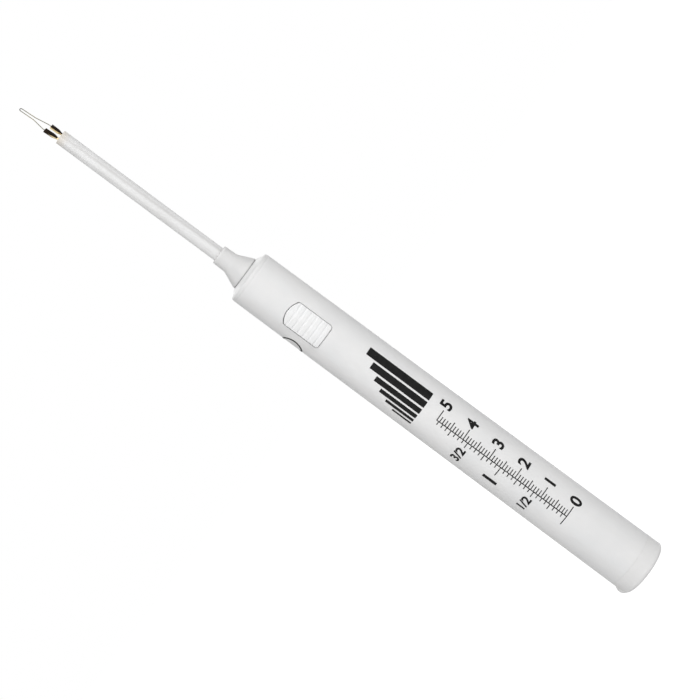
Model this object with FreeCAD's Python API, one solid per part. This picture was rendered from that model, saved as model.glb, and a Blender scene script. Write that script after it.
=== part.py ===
import FreeCAD, Part
import math
import os

from FreeCAD import Vector

# A slim battery-powered hot wire pen that stands on its flat rear end.
# Frame: millimetres, origin in the centre of the rear end face, +Z along the pen
# to the wire tip, the press button facing -Y.

# Driving dimensions: outside
barrel_front_wall = 1.28
barrel_rear_wall = 2.0
cap_skirt = 6.0                # visible length of the rear cap
cap_edge_round = 1.4
collar_height = 2.55           # barrel front end to the foot of the cone
collar_slope = 1.45            # axial height of the sloping shoulder
collar_rim_round = 0.22        # how far the shoulder's rim draws in before the slope
collar_step = 0.03             # collar is this much smaller than the barrel all round
cone_mouth_wall = 0.84
cone_draft = 0.1               # on the radius, from the cone's mouth to its neck
cone_flare = 2.32              # on the radius, from the cone's neck to its base
cone_length = 10.0
cone_neck_length = 4.5
sleeve_length = 60.0           # part of the sleeve in front of the cone
sleeve_wall = 0.30
sleeve_seat = 8.0
wire_reach = 15.0              # wire tip in front of the sleeve
edge_break = 0.08

# Driving dimensions: heating end
post_d = 1.2
post_bore_d = 0.7
post_spacing = 2.75
post_tail = 0.8                # post behind the eye that it is soldered into
post_turn = 32.0               # degrees from the button side towards -X
crimp_width = 1.67
crimp_thickness = 0.85
crimp_waist_width = 1.45       # section a third of the way along the crimp
crimp_waist_thickness = 0.98
crimp_waist_share = 0.35
left_crimp_length = 5.0        # in front of the sleeve
right_crimp_length = 4.3
left_crimp_flare = 0.42
right_crimp_flare = 0.05
wire_d = 0.26
loop_width = 1.15              # between the wire's centre lines
loop_straight = 5.5            # tip to the bend where the legs spread
loop_spread = 0.08             # extra width on each side at the foot of the straight legs
loop_leave = 0.7               # straight wire in front of each crimp
loop_lean = 0.5
loop_lean_turn = 81.0          # degrees from the button side towards -X
wire_grip = 3.0                # length of wire inside each crimp
wire_bend = 1.2

# Driving dimensions: button and side plug
button_offset = 9.55           # carrier's rear end to the button's rear edge
button_length = 14.1
button_width = 8.2
button_nose_sag = 1.55         # how far the rounded front bulges
button_corner = 0.9
button_proud = 0.55
button_travel = 0.8
button_flange = 0.8            # overlap of the flange behind the window's edge
button_flange_thick = 1.0
button_edge_round = 0.35
button_foot = 3.0              # side of the square foot
rib_count = 6
rib_depth = 0.22
rib_margin = 1.55              # rear edge of the button to the first groove
rib_front_margin = 2.4         # last groove to the tip of the rounded front
rib_groove_r = 0.62
plug_d = 7.2
plug_ledge = 0.8               # width of the ledge that the plug's head sits on
plug_offset = -0.65            # plug's centre from the button's middle, along the pen
plug_turn = 74.0               # degrees from the button side towards -X

# Driving dimensions: cells and contacts
cell_d = 14.0
cell_length = 50.5
cell_play = 0.4                # between a cell's jacket and the bore
carrier_length = 35.1
carrier_gap = 2.9              # carrier's front face to the barrel's front end
cell_nub_d = 5.5
cell_nub_height = 1.3
cell_recess = 0.8
cell_rim = 0.8                 # ring of can round the recess at the cell's front end
cell_cap_plate_d = 7.2
cell_cap_plate = 0.4
can_wall = 0.3
jacket_wall = 0.1
strip_width = 4.0
strip_thick = 0.25
strip_groove_depth = 0.5
strip_foot_reach = 1.1         # how far the strip's foot reaches into the bore
contact_plate_d = 10.0
contact_dome_d = 3.6
eye_height = 2.6               # depth of the fixed contact's eye plate
contact_thick = 0.4
contact_dome = 0.4
blade_thick = 0.3
blade_width = 4.5
blade_tip_d = 2.0
blade_tip_stem_d = 1.0
blade_tip_height = 0.5
fixed_tip_d = 2.4
fixed_tip_height = 0.3
blade_corner = 1.2
blade_y = -3.9                 # outer face of the contact blade
blade_root = 1.8               # rivet centre to the rear end of the blade's root
blade_bend = 0.3               # beyond the rivet's far side, to the line where the blade bends
blade_tip_margin = 1.4         # centre of the blade's contact to its free end
blade_reach = 8.6              # push point to the blade's free end
carrier_wall = 3.6             # thick end walls of the carrier
strap_gap = 0.6                # fixed contact's eye to the carrier's front wall
cell_end_gap = 0.7             # strip's foot to the rear cell
anvil_half = 1.7               # half the length of the block under the fixed contact
rivet_d = 1.8
rivet_head_d = 3.2
rivet_head = 0.5
rivet_grip = 1.6               # rivet shank in the carrier's ledge
rivet_offset = 1.9             # carrier's rear wall to the rivet's centre
spring_wire_d = 0.8
spring_turns = 4.5
spring_narrow_d = 6.4
cap_floor = 1.6
cap_wall = 1.15
cap_spigot = 5.0               # length of the cap's spigot inside the barrel
cap_bump_r = 2.6
cap_bump_height = 2.3          # rear end to the centre of the bump
cap_bump_proud = 0.65
cap_bump_turn = 81.0           # degrees from the button side towards -X

# Named clearances
seam_gap = 0.02
running_gap = 0.05
assembly_gap = 0.1
window_gap = 0.18
window_side_shift = 0.06       # window's middle beyond the button's, towards -X
window_front_shift = 0.05      # and towards the tip
plug_gap = 0.2
body_gap = 0.3
switch_gap = 0.25              # left between the contacts when the button is down
post_gap = 0.02
insulating_gap = 0.55          # round a post that a contact must not touch

# Cross sizes that follow
cell_r = cell_d / 2
bore_r = cell_r + jacket_wall + cell_play
front_r = bore_r + barrel_front_wall
rear_r = bore_r + barrel_rear_wall
core_r = post_spacing / 2 + post_d / 2 + post_gap
sleeve_in_r = core_r + post_gap
sleeve_r = sleeve_in_r + sleeve_wall
cone_mouth_r = sleeve_r + cone_mouth_wall
cone_neck_r = cone_mouth_r + cone_draft
cone_base_r = cone_neck_r + cone_flare
cone_spigot_r = cone_base_r - 1.2
cap_spigot_r = bore_r - running_gap
cap_inner_r = cap_spigot_r - cap_wall
cell_recess_r = cell_r - cell_rim
spring_foot_r = cap_inner_r - 2 * contact_thick - spring_wire_d

# Places along the pen that follow
barrel_rear_z = cap_skirt
spigot_top_z = barrel_rear_z + cap_spigot
strip_foot_z = spigot_top_z + contact_thick + body_gap
rear_cell_z = strip_foot_z + strip_thick + cell_end_gap
front_cell_z = rear_cell_z + cell_length
stack_top_z = front_cell_z + cell_length
carrier_rear_z = stack_top_z + contact_dome + contact_thick
carrier_front_z = carrier_rear_z + carrier_length
barrel_front_z = carrier_front_z + carrier_gap
cone_foot_z = barrel_front_z + collar_height
cone_mouth_z = cone_foot_z + cone_length
sleeve_front_z = cone_mouth_z + sleeve_length
sleeve_rear_z = cone_mouth_z - sleeve_seat
tip_z = sleeve_front_z + wire_reach
taper = (rear_r - front_r) / barrel_front_z

# The switch
button_rear_z = carrier_rear_z + button_offset
button_mid_z = button_rear_z + button_length / 2
rib_pitch = (button_length - rib_margin - rib_front_margin) / (rib_count - 1)
plug_centre_z = button_mid_z + plug_offset
plug_step_r = (bore_r + rear_r - taper * plug_centre_z) / 2
rivet_z = carrier_rear_z + carrier_wall + rivet_offset
hinge_z = rivet_z + blade_root + blade_bend
push_z = button_mid_z
ledge_y = blade_y + blade_thick + contact_thick
blade_front_z = push_z + blade_reach
blade_tip_z = blade_front_z - blade_tip_margin
press_angle = button_travel / (push_z - hinge_z)
tip_travel = press_angle * (blade_tip_z - hinge_z)
fixed_tip_y = blade_y + blade_thick + blade_tip_height + tip_travel + switch_gap
fixed_y = fixed_tip_y + fixed_tip_height
fixed_foot_z = carrier_front_z - carrier_wall - strap_gap
post_rear_z = fixed_foot_z - contact_thick - post_tail


def barrel_r(z):
    """Outer radius of the tapered handle at height z."""
    return rear_r - taper * z


def turned(angle, radius, z=0.0):
    """Point at this radius, turned from the button side (-Y) towards -X."""
    a = math.radians(angle)
    return Vector(-math.sin(a) * radius, -math.cos(a) * radius, z)


def cylinder(r, z0, z1):
    return Part.makeCylinder(r, z1 - z0, Vector(0, 0, z0))


def ring(r_out, r_in, z0, z1):
    return cylinder(r_out, z0, z1).cut(cylinder(r_in, z0 - 1, z1 + 1))


def box(x0, x1, y0, y1, z0, z1):
    return Part.makeBox(x1 - x0, y1 - y0, z1 - z0, Vector(x0, y0, z0))


def radial_cylinder(r, r0, r1, angle, z):
    """Cylinder that points outwards from the axis, between two radii."""
    start = turned(angle, r0, z)
    return Part.makeCylinder(r, r1 - r0, start, turned(angle, 1.0))


def revolved(points):
    """Solid of revolution from a closed outline of (r, z) points."""
    corners = [Vector(r, 0, z) for r, z in points]
    face = Part.Face(Part.makePolygon(corners + corners[:1]))
    return face.revolve(Vector(0, 0, 0), Vector(0, 0, 1), 360)


def rounded(shape, radius, z, r_min=0.0):
    """Rounds the full circles of a turned shape that lie at height z."""
    edges = []
    for edge in shape.Edges:
        curve = edge.Curve
        if isinstance(curve, Part.Circle) and abs(edge.BoundBox.ZMin - z) < 1e-4:
            if edge.BoundBox.ZLength < 1e-4 and curve.Radius > r_min:
                edges.append(edge)
    return shape.makeFillet(radius, edges)


def handle_skin(offset, z0, z1):
    """The handle's tapered outer surface as a solid, moved out by offset."""
    return Part.makeCone(barrel_r(z0) + offset, barrel_r(z1) + offset, z1 - z0, Vector(0, 0, z0))


def button_outline(grow):
    """Outline of the button seen from outside, square at the rear, rounded in front."""
    half = button_width / 2 + grow
    rear = button_rear_z - grow
    front = button_rear_z + button_length + grow
    shoulder = front - button_nose_sag
    corner = button_corner + grow
    points = [
        Vector(-half, 0, shoulder),
        Vector(0, 0, front),
        Vector(half, 0, shoulder),
        Vector(half, 0, rear),
        Vector(-half, 0, rear),
    ]
    arc = Part.Arc(points[0], points[1], points[2]).toShape()
    sides = [Part.makeLine(points[i], points[(i + 1) % 5]) for i in (2, 3, 4)]
    face = Part.Face(Part.Wire([arc] + sides))
    prism = face.extrude(Vector(0, -2 * rear_r, 0))
    upright = []
    for edge in prism.Edges:
        if isinstance(edge.Curve, Part.Line) and edge.BoundBox.YLength > rear_r:
            upright.append(edge)
    return prism.makeFillet(corner, upright)


def make_barrel():
    tube = handle_skin(0.0, barrel_rear_z + seam_gap, barrel_front_z)
    tube = rounded(tube, edge_break, barrel_front_z)
    tube = tube.cut(cylinder(bore_r, 0, tip_z))
    groove = box(
        -strip_width / 2 - assembly_gap,
        strip_width / 2 + assembly_gap,
        bore_r - 1,
        bore_r + strip_groove_depth,
        0,
        carrier_front_z + strip_thick + assembly_gap,
    )
    tube = tube.cut(groove)
    window = button_outline(window_gap)
    window.translate(Vector(-window_side_shift, 0, window_front_shift))
    tube = tube.cut(window)
    outer_hole = radial_cylinder(plug_d / 2, 0, 2 * rear_r, plug_turn, plug_centre_z)
    outer_hole = outer_hole.cut(cylinder(plug_step_r, 0, tip_z))
    inner_hole = radial_cylinder(plug_d / 2 - plug_ledge, 0, 2 * rear_r, plug_turn, plug_centre_z)
    return tube.cut(outer_hole).cut(inner_hole)


def make_side_plug():
    head = radial_cylinder(plug_d / 2 - plug_gap, 0, 2 * rear_r, plug_turn, plug_centre_z)
    head = head.common(handle_skin(0.0, barrel_rear_z, barrel_front_z))
    head = head.cut(cylinder(plug_step_r, 0, tip_z))
    boss = radial_cylinder((plug_d / 2 - plug_ledge) - running_gap, 0, 2 * rear_r, plug_turn, plug_centre_z)
    boss = boss.common(cylinder(plug_step_r + seam_gap, 0, tip_z))
    boss = boss.cut(cylinder(bore_r, 0, tip_z))
    return head.fuse(boss).removeSplitter()


def make_rear_cap():
    skirt = handle_skin(0.0, 0.0, cap_skirt)
    skirt = rounded(skirt, cap_edge_round, 0.0)
    spigot = cylinder(cap_spigot_r, cap_skirt - 1, spigot_top_z)
    body = skirt.fuse(spigot).removeSplitter()
    body = body.cut(cylinder(cap_inner_r, cap_floor, spigot_top_z + 1))
    centre = turned(cap_bump_turn, rear_r + cap_bump_proud - cap_bump_r, cap_bump_height)
    bump = Part.makeSphere(cap_bump_r, centre)
    bump = bump.common(ring(rear_r + 2 * cap_bump_proud, bore_r, 0, cap_skirt))
    notch = box(
        -strip_width / 2,
        strip_width / 2,
        cap_spigot_r - contact_thick,
        bore_r + 1,
        spigot_top_z - 1.2,
        spigot_top_z + 1,
    )
    return body.fuse(bump).removeSplitter().cut(notch)


def make_rear_contact():
    """Round plate in the cap with a tongue that folds over the spigot's rim."""
    plate = cylinder(cap_inner_r - assembly_gap, cap_floor, cap_floor + contact_thick)
    half = strip_width / 2 - 0.4
    tongue_y = cap_inner_r - 2 * contact_thick - assembly_gap
    top_z = spigot_top_z + contact_thick
    tongue = box(-half, half, tongue_y, tongue_y + contact_thick, cap_floor, top_z)
    fold = box(-half, half, tongue_y, bore_r - body_gap, spigot_top_z, top_z)
    return plate.fuse([tongue, fold]).removeSplitter()


def make_battery_spring():
    foot_z = cap_floor + contact_thick
    top_z = rear_cell_z - body_gap
    height = top_z - foot_z - spring_wire_d
    spread = spring_foot_r - spring_narrow_d / 2
    slope = math.degrees(math.atan(spread / height))
    start_r = spring_narrow_d / 2
    slant = height / math.cos(math.radians(slope))
    helix = Part.makeHelix(slant / spring_turns, slant, start_r, slope)
    circle = Part.Circle(Vector(start_r, 0, 0), Vector(0, 1, 0), spring_wire_d / 2)
    section = Part.Wire(circle.toShape())
    coil = Part.Wire(helix.Edges).makePipeShell([section], True, True)
    coil.rotate(Vector(0, 0, 0), Vector(1, 0, 0), 180)
    coil.translate(Vector(0, 0, top_z - spring_wire_d / 2))
    return coil


def cell_parts(name, z0):
    """One cell: can, packed core, seal ring, positive cap and printed-free jacket."""
    can_top = z0 + cell_length - cell_nub_height
    recess_z = can_top - cell_recess
    can = cylinder(cell_r, z0, can_top)
    can = can.cut(cylinder(cell_r - can_wall, z0 + can_wall, recess_z))
    can = can.cut(cylinder(cell_recess_r, recess_z - 1, can_top + 1))
    core = cylinder(cell_r - can_wall, z0 + can_wall, recess_z)
    seal = ring(cell_recess_r - post_gap, cell_cap_plate_d / 2, recess_z, can_top - assembly_gap)
    cap = cylinder(cell_cap_plate_d / 2, recess_z, recess_z + cell_cap_plate)
    cap = cap.fuse(cylinder(cell_nub_d / 2, recess_z, z0 + cell_length)).removeSplitter()
    cap = rounded(cap, 0.4, z0 + cell_length)
    jacket = ring(cell_r + jacket_wall, cell_r, z0 + 0.2, can_top)
    return {
        name + "_can": can,
        name + "_core": core,
        name + "_seal": seal,
        name + "_cap": cap,
        name + "_jacket": jacket,
    }


def make_positive_contact():
    """Plate with a dome for the front cell and a leg that runs out under the blade."""
    plate_z = carrier_rear_z - contact_thick
    plate = cylinder(contact_plate_d / 2, plate_z, carrier_rear_z)
    dome_r = contact_dome_d / 2
    dome = Part.makeCone(dome_r / 2, dome_r, contact_dome, Vector(0, 0, plate_z - contact_dome))
    leg = box(
        -blade_width / 2, blade_width / 2, blade_y + blade_thick, ledge_y,
        plate_z, hinge_z - 0.3,
    )
    shape = plate.fuse([dome, leg]).removeSplitter()
    return shape.cut(rivet_shank())


def rivet_shank():
    """Hole for the rivet that holds the blade's root."""
    return Part.makeCylinder(rivet_d / 2, 6.0, Vector(0, blade_y - 1, rivet_z), Vector(0, 1, 0))


def make_blade_anchor():
    root = box(
        -blade_width / 2, blade_width / 2, blade_y, blade_y + blade_thick,
        rivet_z - blade_root, hinge_z - seam_gap,
    )
    return root.cut(rivet_shank())


def make_blade_rivet():
    out = Vector(0, 1, 0)
    head = Part.makeCylinder(rivet_head_d / 2, rivet_head, Vector(0, blade_y - rivet_head, rivet_z), out)
    rim = [e for e in head.Edges if e.BoundBox.YMax < blade_y - rivet_head / 2]
    head = head.makeFillet(rivet_head * 0.6, rim)
    shank_y = blade_y - assembly_gap
    shank = Part.makeCylinder(rivet_d / 2, rivet_length(), Vector(0, shank_y, rivet_z), out)
    return head.fuse(shank).removeSplitter()


def rivet_length():
    """Shank from just under the rivet's head to its end in the ledge."""
    return assembly_gap + blade_thick + contact_thick + rivet_grip


def make_contact_blade():
    half = blade_width / 2
    blade = box(-half, half, blade_y, blade_y + blade_thick, hinge_z + assembly_gap, blade_front_z)
    ends = [e for e in blade.Edges if e.BoundBox.ZMin > blade_front_z - assembly_gap]
    corners = [e for e in ends if e.BoundBox.YLength > blade_thick / 2]
    blade = blade.makeFillet(blade_corner, corners)
    return blade.cut(tip_stem(blade_y, blade_thick))


def tip_stem(y, length):
    """Stem of a contact button, along +Y under the blade's tip."""
    return Part.makeCylinder(blade_tip_stem_d / 2, length, Vector(0, y, blade_tip_z), Vector(0, 1, 0))


def make_blade_tip():
    out = Vector(0, 1, 0)
    face_y = blade_y + blade_thick
    button = Part.makeCylinder(blade_tip_d / 2, blade_tip_height, Vector(0, face_y, blade_tip_z), out)
    return button.fuse(tip_stem(blade_y, blade_thick)).removeSplitter()


def post_centre(side, z=0.0):
    """Centre of a terminal post: side 1 is the left one, -1 the right one."""
    return turned(post_turn, side * post_spacing / 2, z)


def make_fixed_contact():
    """Strip under the blade's tip, with an eye at its front end around the left post."""
    half = blade_width / 2
    strip = box(
        -half, half, fixed_y, fixed_y + contact_thick, blade_tip_z - anvil_half, fixed_foot_z,
    )
    eye = box(-half, half, fixed_y, fixed_y + eye_height, fixed_foot_z - contact_thick, fixed_foot_z)
    shape = strip.fuse(eye).removeSplitter()
    shape = shape.cut(post_hole(1, post_gap))
    shape = shape.cut(post_hole(-1, insulating_gap))
    return shape.cut(tip_stem(fixed_y, contact_thick))


def make_fixed_tip():
    out = Vector(0, 1, 0)
    r = fixed_tip_d / 2
    button = Part.makeCylinder(r, fixed_tip_height, Vector(0, fixed_tip_y, blade_tip_z), out)
    return button.fuse(tip_stem(fixed_y, contact_thick)).removeSplitter()


def post_hole(side, gap):
    centre = post_centre(side, post_rear_z - 1)
    return Part.makeCylinder(post_d / 2 + gap, sleeve_front_z, centre)


def make_switch_carrier():
    """Moulded tray with two end walls, a ledge for the blade and a post for the fixed contact."""
    r = bore_r - assembly_gap
    tray = cylinder(r, carrier_rear_z, carrier_front_z)
    inner_rear = carrier_rear_z + carrier_wall
    inner_front = carrier_front_z - carrier_wall
    floor_y = fixed_y + contact_thick + eye_height
    pocket = box(-r, r, -r, floor_y, inner_rear, inner_front)
    ledge = box(-r, r, ledge_y, floor_y + 1, inner_rear - 1, hinge_z - 0.3)
    anvil = box(
        -blade_width / 2, blade_width / 2, fixed_y + contact_thick, floor_y + 1,
        blade_tip_z - anvil_half, blade_tip_z + anvil_half,
    )
    tray = tray.cut(pocket)
    tray = tray.fuse([ledge.common(cylinder(r, 0, tip_z)), anvil]).removeSplitter()
    slot = box(
        -blade_width / 2, blade_width / 2, blade_y + blade_thick, ledge_y,
        carrier_rear_z - 1, inner_rear + 0.5,
    )
    tray = tray.cut(slot)
    bore_depth = rivet_length() - assembly_gap
    bore = Part.makeCylinder(rivet_d / 2, bore_depth, Vector(0, blade_y, rivet_z), Vector(0, 1, 0))
    tray = tray.cut(bore)
    for side in (1, -1):
        tray = tray.cut(post_hole(side, post_gap))
    return tray


def make_return_strip():
    """Strip in the groove along the barrel, from the cap's contact to the right post."""
    half = strip_width / 2
    y0 = bore_r + strip_groove_depth - strip_thick - assembly_gap
    y1 = y0 + strip_thick
    rail = box(-half, half, y0, y1, strip_foot_z, carrier_front_z + strip_thick)
    foot_y = bore_r - strip_foot_reach
    foot = box(-half, half, foot_y, y1, strip_foot_z, strip_foot_z + strip_thick)
    eye_z = carrier_front_z
    eye = box(-half, half, post_spacing / 2 - post_d, y1, eye_z, eye_z + strip_thick)
    shape = rail.fuse([foot, eye]).removeSplitter()
    shape = shape.cut(post_hole(-1, post_gap))
    return shape.cut(post_hole(1, insulating_gap))


def make_front_collar():
    spigot_r = cap_spigot_r
    spigot_z = carrier_front_z + strip_thick + assembly_gap
    top_z = cone_foot_z
    slope_z = top_z - collar_slope
    rim_r = barrel_r(barrel_front_z) - collar_step
    slope_r = front_r - collar_rim_round
    hole_r = cone_spigot_r + running_gap
    foot_z = barrel_front_z + seam_gap
    body = revolved([
        (hole_r, spigot_z),
        (spigot_r, spigot_z),
        (spigot_r, foot_z),
        (rim_r, foot_z),
        (rim_r, slope_z - 0.75),
        (slope_r, slope_z),
        (cone_base_r + 0.15, top_z - 0.1),
        (cone_base_r - 0.35, top_z - 0.1),
        (cone_base_r - 0.35, top_z),
        (hole_r, top_z),
    ])
    body = rounded(body, 0.5, slope_z - 0.75, r_min=slope_r)
    return rounded(body, 0.35, slope_z)


def make_nose_cone():
    neck_z = cone_mouth_z - cone_neck_length
    spigot_z = carrier_front_z + strip_thick + 0.6
    bore = sleeve_r + post_gap
    core_bore = core_r + running_gap
    body = revolved([
        (core_bore, spigot_z),
        (cone_spigot_r, spigot_z),
        (cone_spigot_r, cone_foot_z),
        (cone_base_r - 0.3, cone_foot_z),
        (cone_base_r, cone_foot_z + 0.3),
        (cone_neck_r, neck_z),
        (cone_mouth_r, cone_mouth_z),
        (bore + 0.2, cone_mouth_z),
        (bore, cone_mouth_z - 0.4),
        (bore, sleeve_rear_z),
        (core_bore, sleeve_rear_z),
    ])
    body = rounded(body, 3.5, neck_z)
    return rounded(body, 0.3, cone_mouth_z, r_min=bore + 0.3)


def make_tip_sleeve():
    return ring(sleeve_r, sleeve_in_r, sleeve_rear_z, sleeve_front_z)


def make_lead_core():
    """Round insulating spacer with an open groove for each lead."""
    core = cylinder(core_r, carrier_front_z + strip_thick + 0.6, sleeve_front_z - 0.6)
    half = post_d / 2 + post_gap
    for side in (1, -1):
        slot = box(-half, half, 0, 2 * sleeve_r, 0, tip_z)
        slot.translate(Vector(0, post_spacing / 2, 0))
        angle = -post_turn if side < 0 else 180 - post_turn
        slot.rotate(Vector(0, 0, 0), Vector(0, 0, 1), angle)
        core = core.cut(slot).cut(post_hole(side, post_gap))
    return core


def rounded_section(width, depth, corner, centre, z):
    """Rounded rectangle whose width runs along the line of the two posts."""
    w = width / 2
    d = depth / 2
    flat = Part.makeBox(width, depth, 1.0, Vector(-w, -d, 0))
    upright = [e for e in flat.Edges if e.BoundBox.ZLength > 0.9]
    flat = flat.makeFillet(corner, upright)
    wire = [f for f in flat.Faces if f.BoundBox.ZMax < 0.1][0].OuterWire
    wire.rotate(Vector(0, 0, 0), Vector(0, 0, 1), 90 - post_turn)
    wire.translate(Vector(centre.x, centre.y, z))
    return wire


def crimp_end(side):
    length = left_crimp_length if side > 0 else right_crimp_length
    flare = left_crimp_flare if side > 0 else right_crimp_flare
    centre = turned(post_turn, side * (post_spacing / 2 + flare))
    return Vector(centre.x, centre.y, sleeve_front_z + length)


def make_terminal_post(side):
    """Brass tube whose front end is squeezed flat over the wire."""
    root_z = sleeve_front_z + 0.4
    tube = Part.makeCylinder(post_d / 2, root_z - post_rear_z, post_centre(side, post_rear_z))
    bore = Part.makeCylinder(post_bore_d / 2, root_z - post_rear_z - 1, post_centre(side, post_rear_z))
    foot = post_centre(side)
    end = crimp_end(side)
    sections = []
    steps = (
        (0.0, post_d, post_d),
        (crimp_waist_share, crimp_waist_width, crimp_waist_thickness),
        (1.0, crimp_width, crimp_thickness),
    )
    for share, width, depth in steps:
        centre = foot + (Vector(end.x, end.y, 0) - foot) * share
        z = root_z + (end.z - root_z) * share
        sections.append(rounded_section(width, depth, depth * 0.42, centre, z))
    crimp = Part.makeLoft(sections, True, True)
    post = tube.cut(bore).fuse(crimp).removeSplitter()
    return post.cut(wire_hole(side))


def wire_end(side):
    """Start and end of the straight stretch of wire inside a crimp."""
    end = crimp_end(side)
    lean = Vector(end.x, end.y, 0) - post_centre(side)
    back = lean * (wire_grip / (end.z - sleeve_front_z))
    back.z = wire_grip
    return end - back, end


def wire_hole(side):
    start, end = wire_end(side)
    run = end - start
    return Part.makeCylinder(wire_d / 2 + post_gap, run.Length, start, run)


def tube_along(points, r):
    """Round wire along straight runs joined by tangent arcs; each point gives x, y, z, bend."""
    edges = []
    here = points[0][0]
    for i in range(1, len(points) - 1):
        corner, bend = points[i]
        back = (points[i - 1][0] - corner).normalize()
        ahead = (points[i + 1][0] - corner).normalize()
        half = back.getAngle(ahead) / 2
        reach = bend / math.tan(half)
        a = corner + back * reach
        b = corner + ahead * reach
        middle = (back + ahead).normalize()
        mid = corner + middle * (bend / math.sin(half) - bend)
        edges.append(Part.makeLine(here, a))
        edges.append(Part.Arc(a, mid, b).toShape())
        here = b
    edges.append(Part.makeLine(here, points[-1][0]))
    path = Part.Wire(edges)
    first = points[0][0]
    direction = points[1][0] - first
    section = Part.Wire(Part.Circle(first, direction, r).toShape())
    return path.makePipeShell([section], True, True, 2)


def make_heating_wire():
    """Resistance wire bent to a narrow loop, its ends held in the crimps."""
    half = loop_width / 2
    legs = []
    for side in (1, -1):
        start, end = wire_end(side)
        run = (end - start).normalize()
        leave = end + run * loop_leave
        spread = turned(post_turn, side * (half + loop_spread)) + turned(loop_lean_turn, loop_lean / 2)
        spread.z = tip_z - loop_straight
        top = turned(post_turn, side * half) + turned(loop_lean_turn, loop_lean)
        top.z = tip_z - wire_d / 2
        legs.append([(start, 0), (leave, loop_leave * 0.8), (spread, wire_bend), (top, half * 0.96)])
    return tube_along(legs[0] + legs[1][::-1], wire_d / 2)


def make_press_button():
    """Ribbed key with a flange inside the barrel and a foot that pushes the blade."""
    skin = handle_skin(button_proud, barrel_rear_z, barrel_front_z)
    flange_r = bore_r - body_gap
    flange_in = flange_r - button_flange_thick
    key = button_outline(0.0).common(skin).cut(cylinder(flange_in, 0, tip_z))
    rim = [e for e in key.Edges if min_radius(e) > flange_r + 1]
    key = key.makeFillet(button_edge_round, rim)
    flange = button_outline(window_gap + button_flange)
    flange = flange.common(ring(flange_r, flange_in, barrel_rear_z, barrel_front_z))
    half = button_foot / 2
    foot = box(
        -half, half, -flange_in - button_flange_thick / 2, blade_y - body_gap,
        push_z - half, push_z + half,
    )
    key = key.fuse([flange, foot]).removeSplitter()
    for i in range(rib_count):
        key = key.cut(rib_groove(button_rear_z + rib_margin + i * rib_pitch))
    return key


def min_radius(edge):
    """Smallest distance from the pen's axis to an edge's ends."""
    return min(math.hypot(v.X, v.Y) for v in edge.Vertexes)


def rib_groove(z):
    """Shallow round groove that runs around the handle at height z."""
    r = barrel_r(z) + button_proud + rib_groove_r - rib_depth
    return Part.makeTorus(r, rib_groove_r, Vector(0, 0, z))


def build():
    parts = {
        "barrel": make_barrel(),
        "side_plug": make_side_plug(),
        "front_collar": make_front_collar(),
        "nose_cone": make_nose_cone(),
        "tip_sleeve": make_tip_sleeve(),
        "lead_core": make_lead_core(),
        "left_terminal_post": make_terminal_post(1),
        "right_terminal_post": make_terminal_post(-1),
        "heating_wire": make_heating_wire(),
        "switch_carrier": make_switch_carrier(),
        "positive_contact": make_positive_contact(),
        "blade_anchor": make_blade_anchor(),
        "blade_rivet": make_blade_rivet(),
        "contact_blade": make_contact_blade(),
        "blade_tip": make_blade_tip(),
        "fixed_contact": make_fixed_contact(),
        "fixed_tip": make_fixed_tip(),
        "return_strip": make_return_strip(),
        "press_button": make_press_button(),
        "rear_cap": make_rear_cap(),
        "rear_contact": make_rear_contact(),
        "battery_spring": make_battery_spring(),
    }
    parts.update(cell_parts("rear_cell", rear_cell_z))
    parts.update(cell_parts("front_cell", front_cell_z))
    return parts


def main():
    os.makedirs("parts", exist_ok=True)
    for name, shape in build().items():
        solids = shape.Solids
        print(name, len(solids), round(shape.Volume, 2), shape.isValid())
        shape.exportStep("parts/" + name + ".step")
    print("hinge z", hinge_z, "push z", push_z, "angle", round(math.degrees(press_angle), 3))
    print("ratio", round(press_angle / button_travel * 1000, 3), "blade y", blade_y + blade_thick / 2)


main()
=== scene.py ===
import math

import bmesh
import bpy
from mathutils import Matrix, Vector


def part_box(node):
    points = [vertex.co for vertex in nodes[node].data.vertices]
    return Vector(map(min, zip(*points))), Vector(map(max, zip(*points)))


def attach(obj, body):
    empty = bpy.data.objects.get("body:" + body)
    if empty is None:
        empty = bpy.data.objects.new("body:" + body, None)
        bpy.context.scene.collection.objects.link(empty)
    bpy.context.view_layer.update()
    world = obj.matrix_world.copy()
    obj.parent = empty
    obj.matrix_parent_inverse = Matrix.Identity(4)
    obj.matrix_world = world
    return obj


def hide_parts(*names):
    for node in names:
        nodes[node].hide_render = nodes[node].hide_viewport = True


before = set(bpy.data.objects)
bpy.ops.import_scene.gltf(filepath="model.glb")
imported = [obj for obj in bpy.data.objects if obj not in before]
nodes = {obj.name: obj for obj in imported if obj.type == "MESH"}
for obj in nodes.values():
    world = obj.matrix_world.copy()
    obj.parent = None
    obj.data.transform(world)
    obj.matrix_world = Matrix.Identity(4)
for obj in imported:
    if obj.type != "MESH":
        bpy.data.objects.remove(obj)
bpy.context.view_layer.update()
mm = 0.001
print("frame loaded,", len(nodes), "nodes")


cameraSet = {
    "azimuth": 8.34,       # degrees, from the button side towards +X
    "elevation": 4.35,
    "distance": 0.7346,
    "aimHeight": 0.115,    # on the pen's axis
    "aimRight": 0.0004,
    "lens": 122.4,
    "sensor": 36,
    "nearClip": 0.01,
    "roll": -53.45,        # turns the pen's tip to the upper left
}


def aimAt(obj, place, target, roll=0.0):
    turn = (target - place).to_track_quat("-Z", "Y").to_matrix().to_4x4()
    spin = Matrix.Rotation(math.radians(roll), 4, "Z")
    obj.matrix_world = Matrix.Translation(place) @ turn @ spin


def compass(azimuth, elevation):
    # unit vector away from the pen, azimuth 0 is the button side
    az = math.radians(azimuth)
    el = math.radians(elevation)
    return Vector((math.sin(az) * math.cos(el), -math.cos(az) * math.cos(el), math.sin(el)))


def addToScene(name, data):
    obj = bpy.data.objects.new(name, data)
    bpy.context.collection.objects.link(obj)
    return obj


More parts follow.
